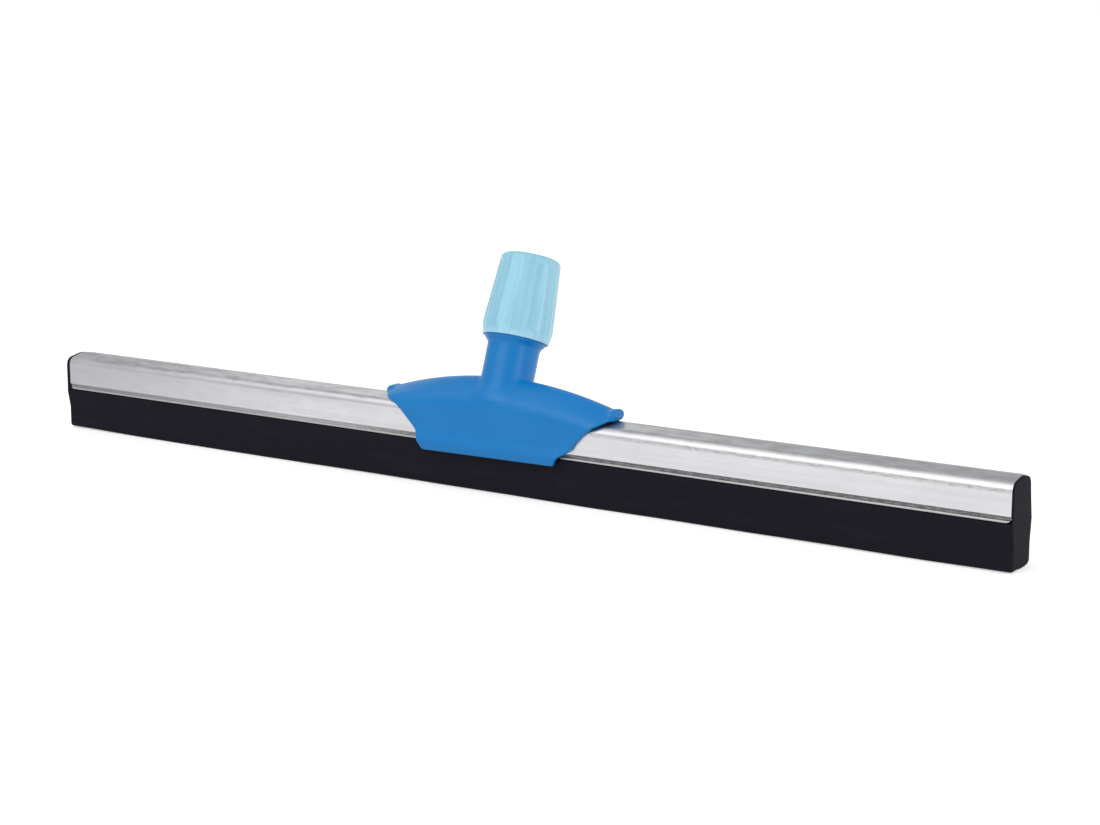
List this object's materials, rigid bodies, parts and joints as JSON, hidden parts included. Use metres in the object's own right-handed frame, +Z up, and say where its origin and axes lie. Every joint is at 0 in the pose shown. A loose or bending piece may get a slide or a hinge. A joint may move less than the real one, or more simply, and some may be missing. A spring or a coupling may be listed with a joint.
{
  "type": "floor squeegee",
  "caption": "Floor squeegee head: a long steel channel grips double-leaf black foam rubber, and a leaning plastic socket with a clamping nut takes a round handle.",
  "frame": {"origin": "on the floor, under the middle of the rubber's length and thickness", "axes": "+X along the head, +Y to the side that the handle leans to, +Z up"},
  "size_m": [0.6, 0.0592, 0.1255],
  "materials": {
    "galvanised_sheet": "galvanised, lengthwise rolling marks",
    "foam_rubber": "matt, fine pores",
    "blue_plastic": "moulded, satin",
    "collet_plastic": "moulded, satin",
    "light_blue_plastic": "moulded, satin"
  },
  "bodies": {
    "head": {"steel_channel": "galvanised_sheet", "front_blade": "foam_rubber", "back_blade": "foam_rubber", "handle_socket": "blue_plastic"},
    "collet": {"clamping_collet": "collet_plastic"},
    "nut": {"lock_nut": "light_blue_plastic"}
  },
  "joints": [
    {"name": "collet_travel", "type": "slide", "parent": "head", "child": "collet", "axis": [0, 0.3486, 0.9373], "range_m": [0, 0.0081]},
    {"name": "nut_turn", "type": "hinge", "parent": "collet", "child": "nut", "pos_m": [0.0097, 0.02091, 0.10064], "axis": [0, 0.3486, 0.9373], "range_deg": [0, 720]}
  ],
  "couplings": [
    {"joint": "collet_travel", "follows": "nut_turn", "m_per_rad": 0.00063662}
  ]
}
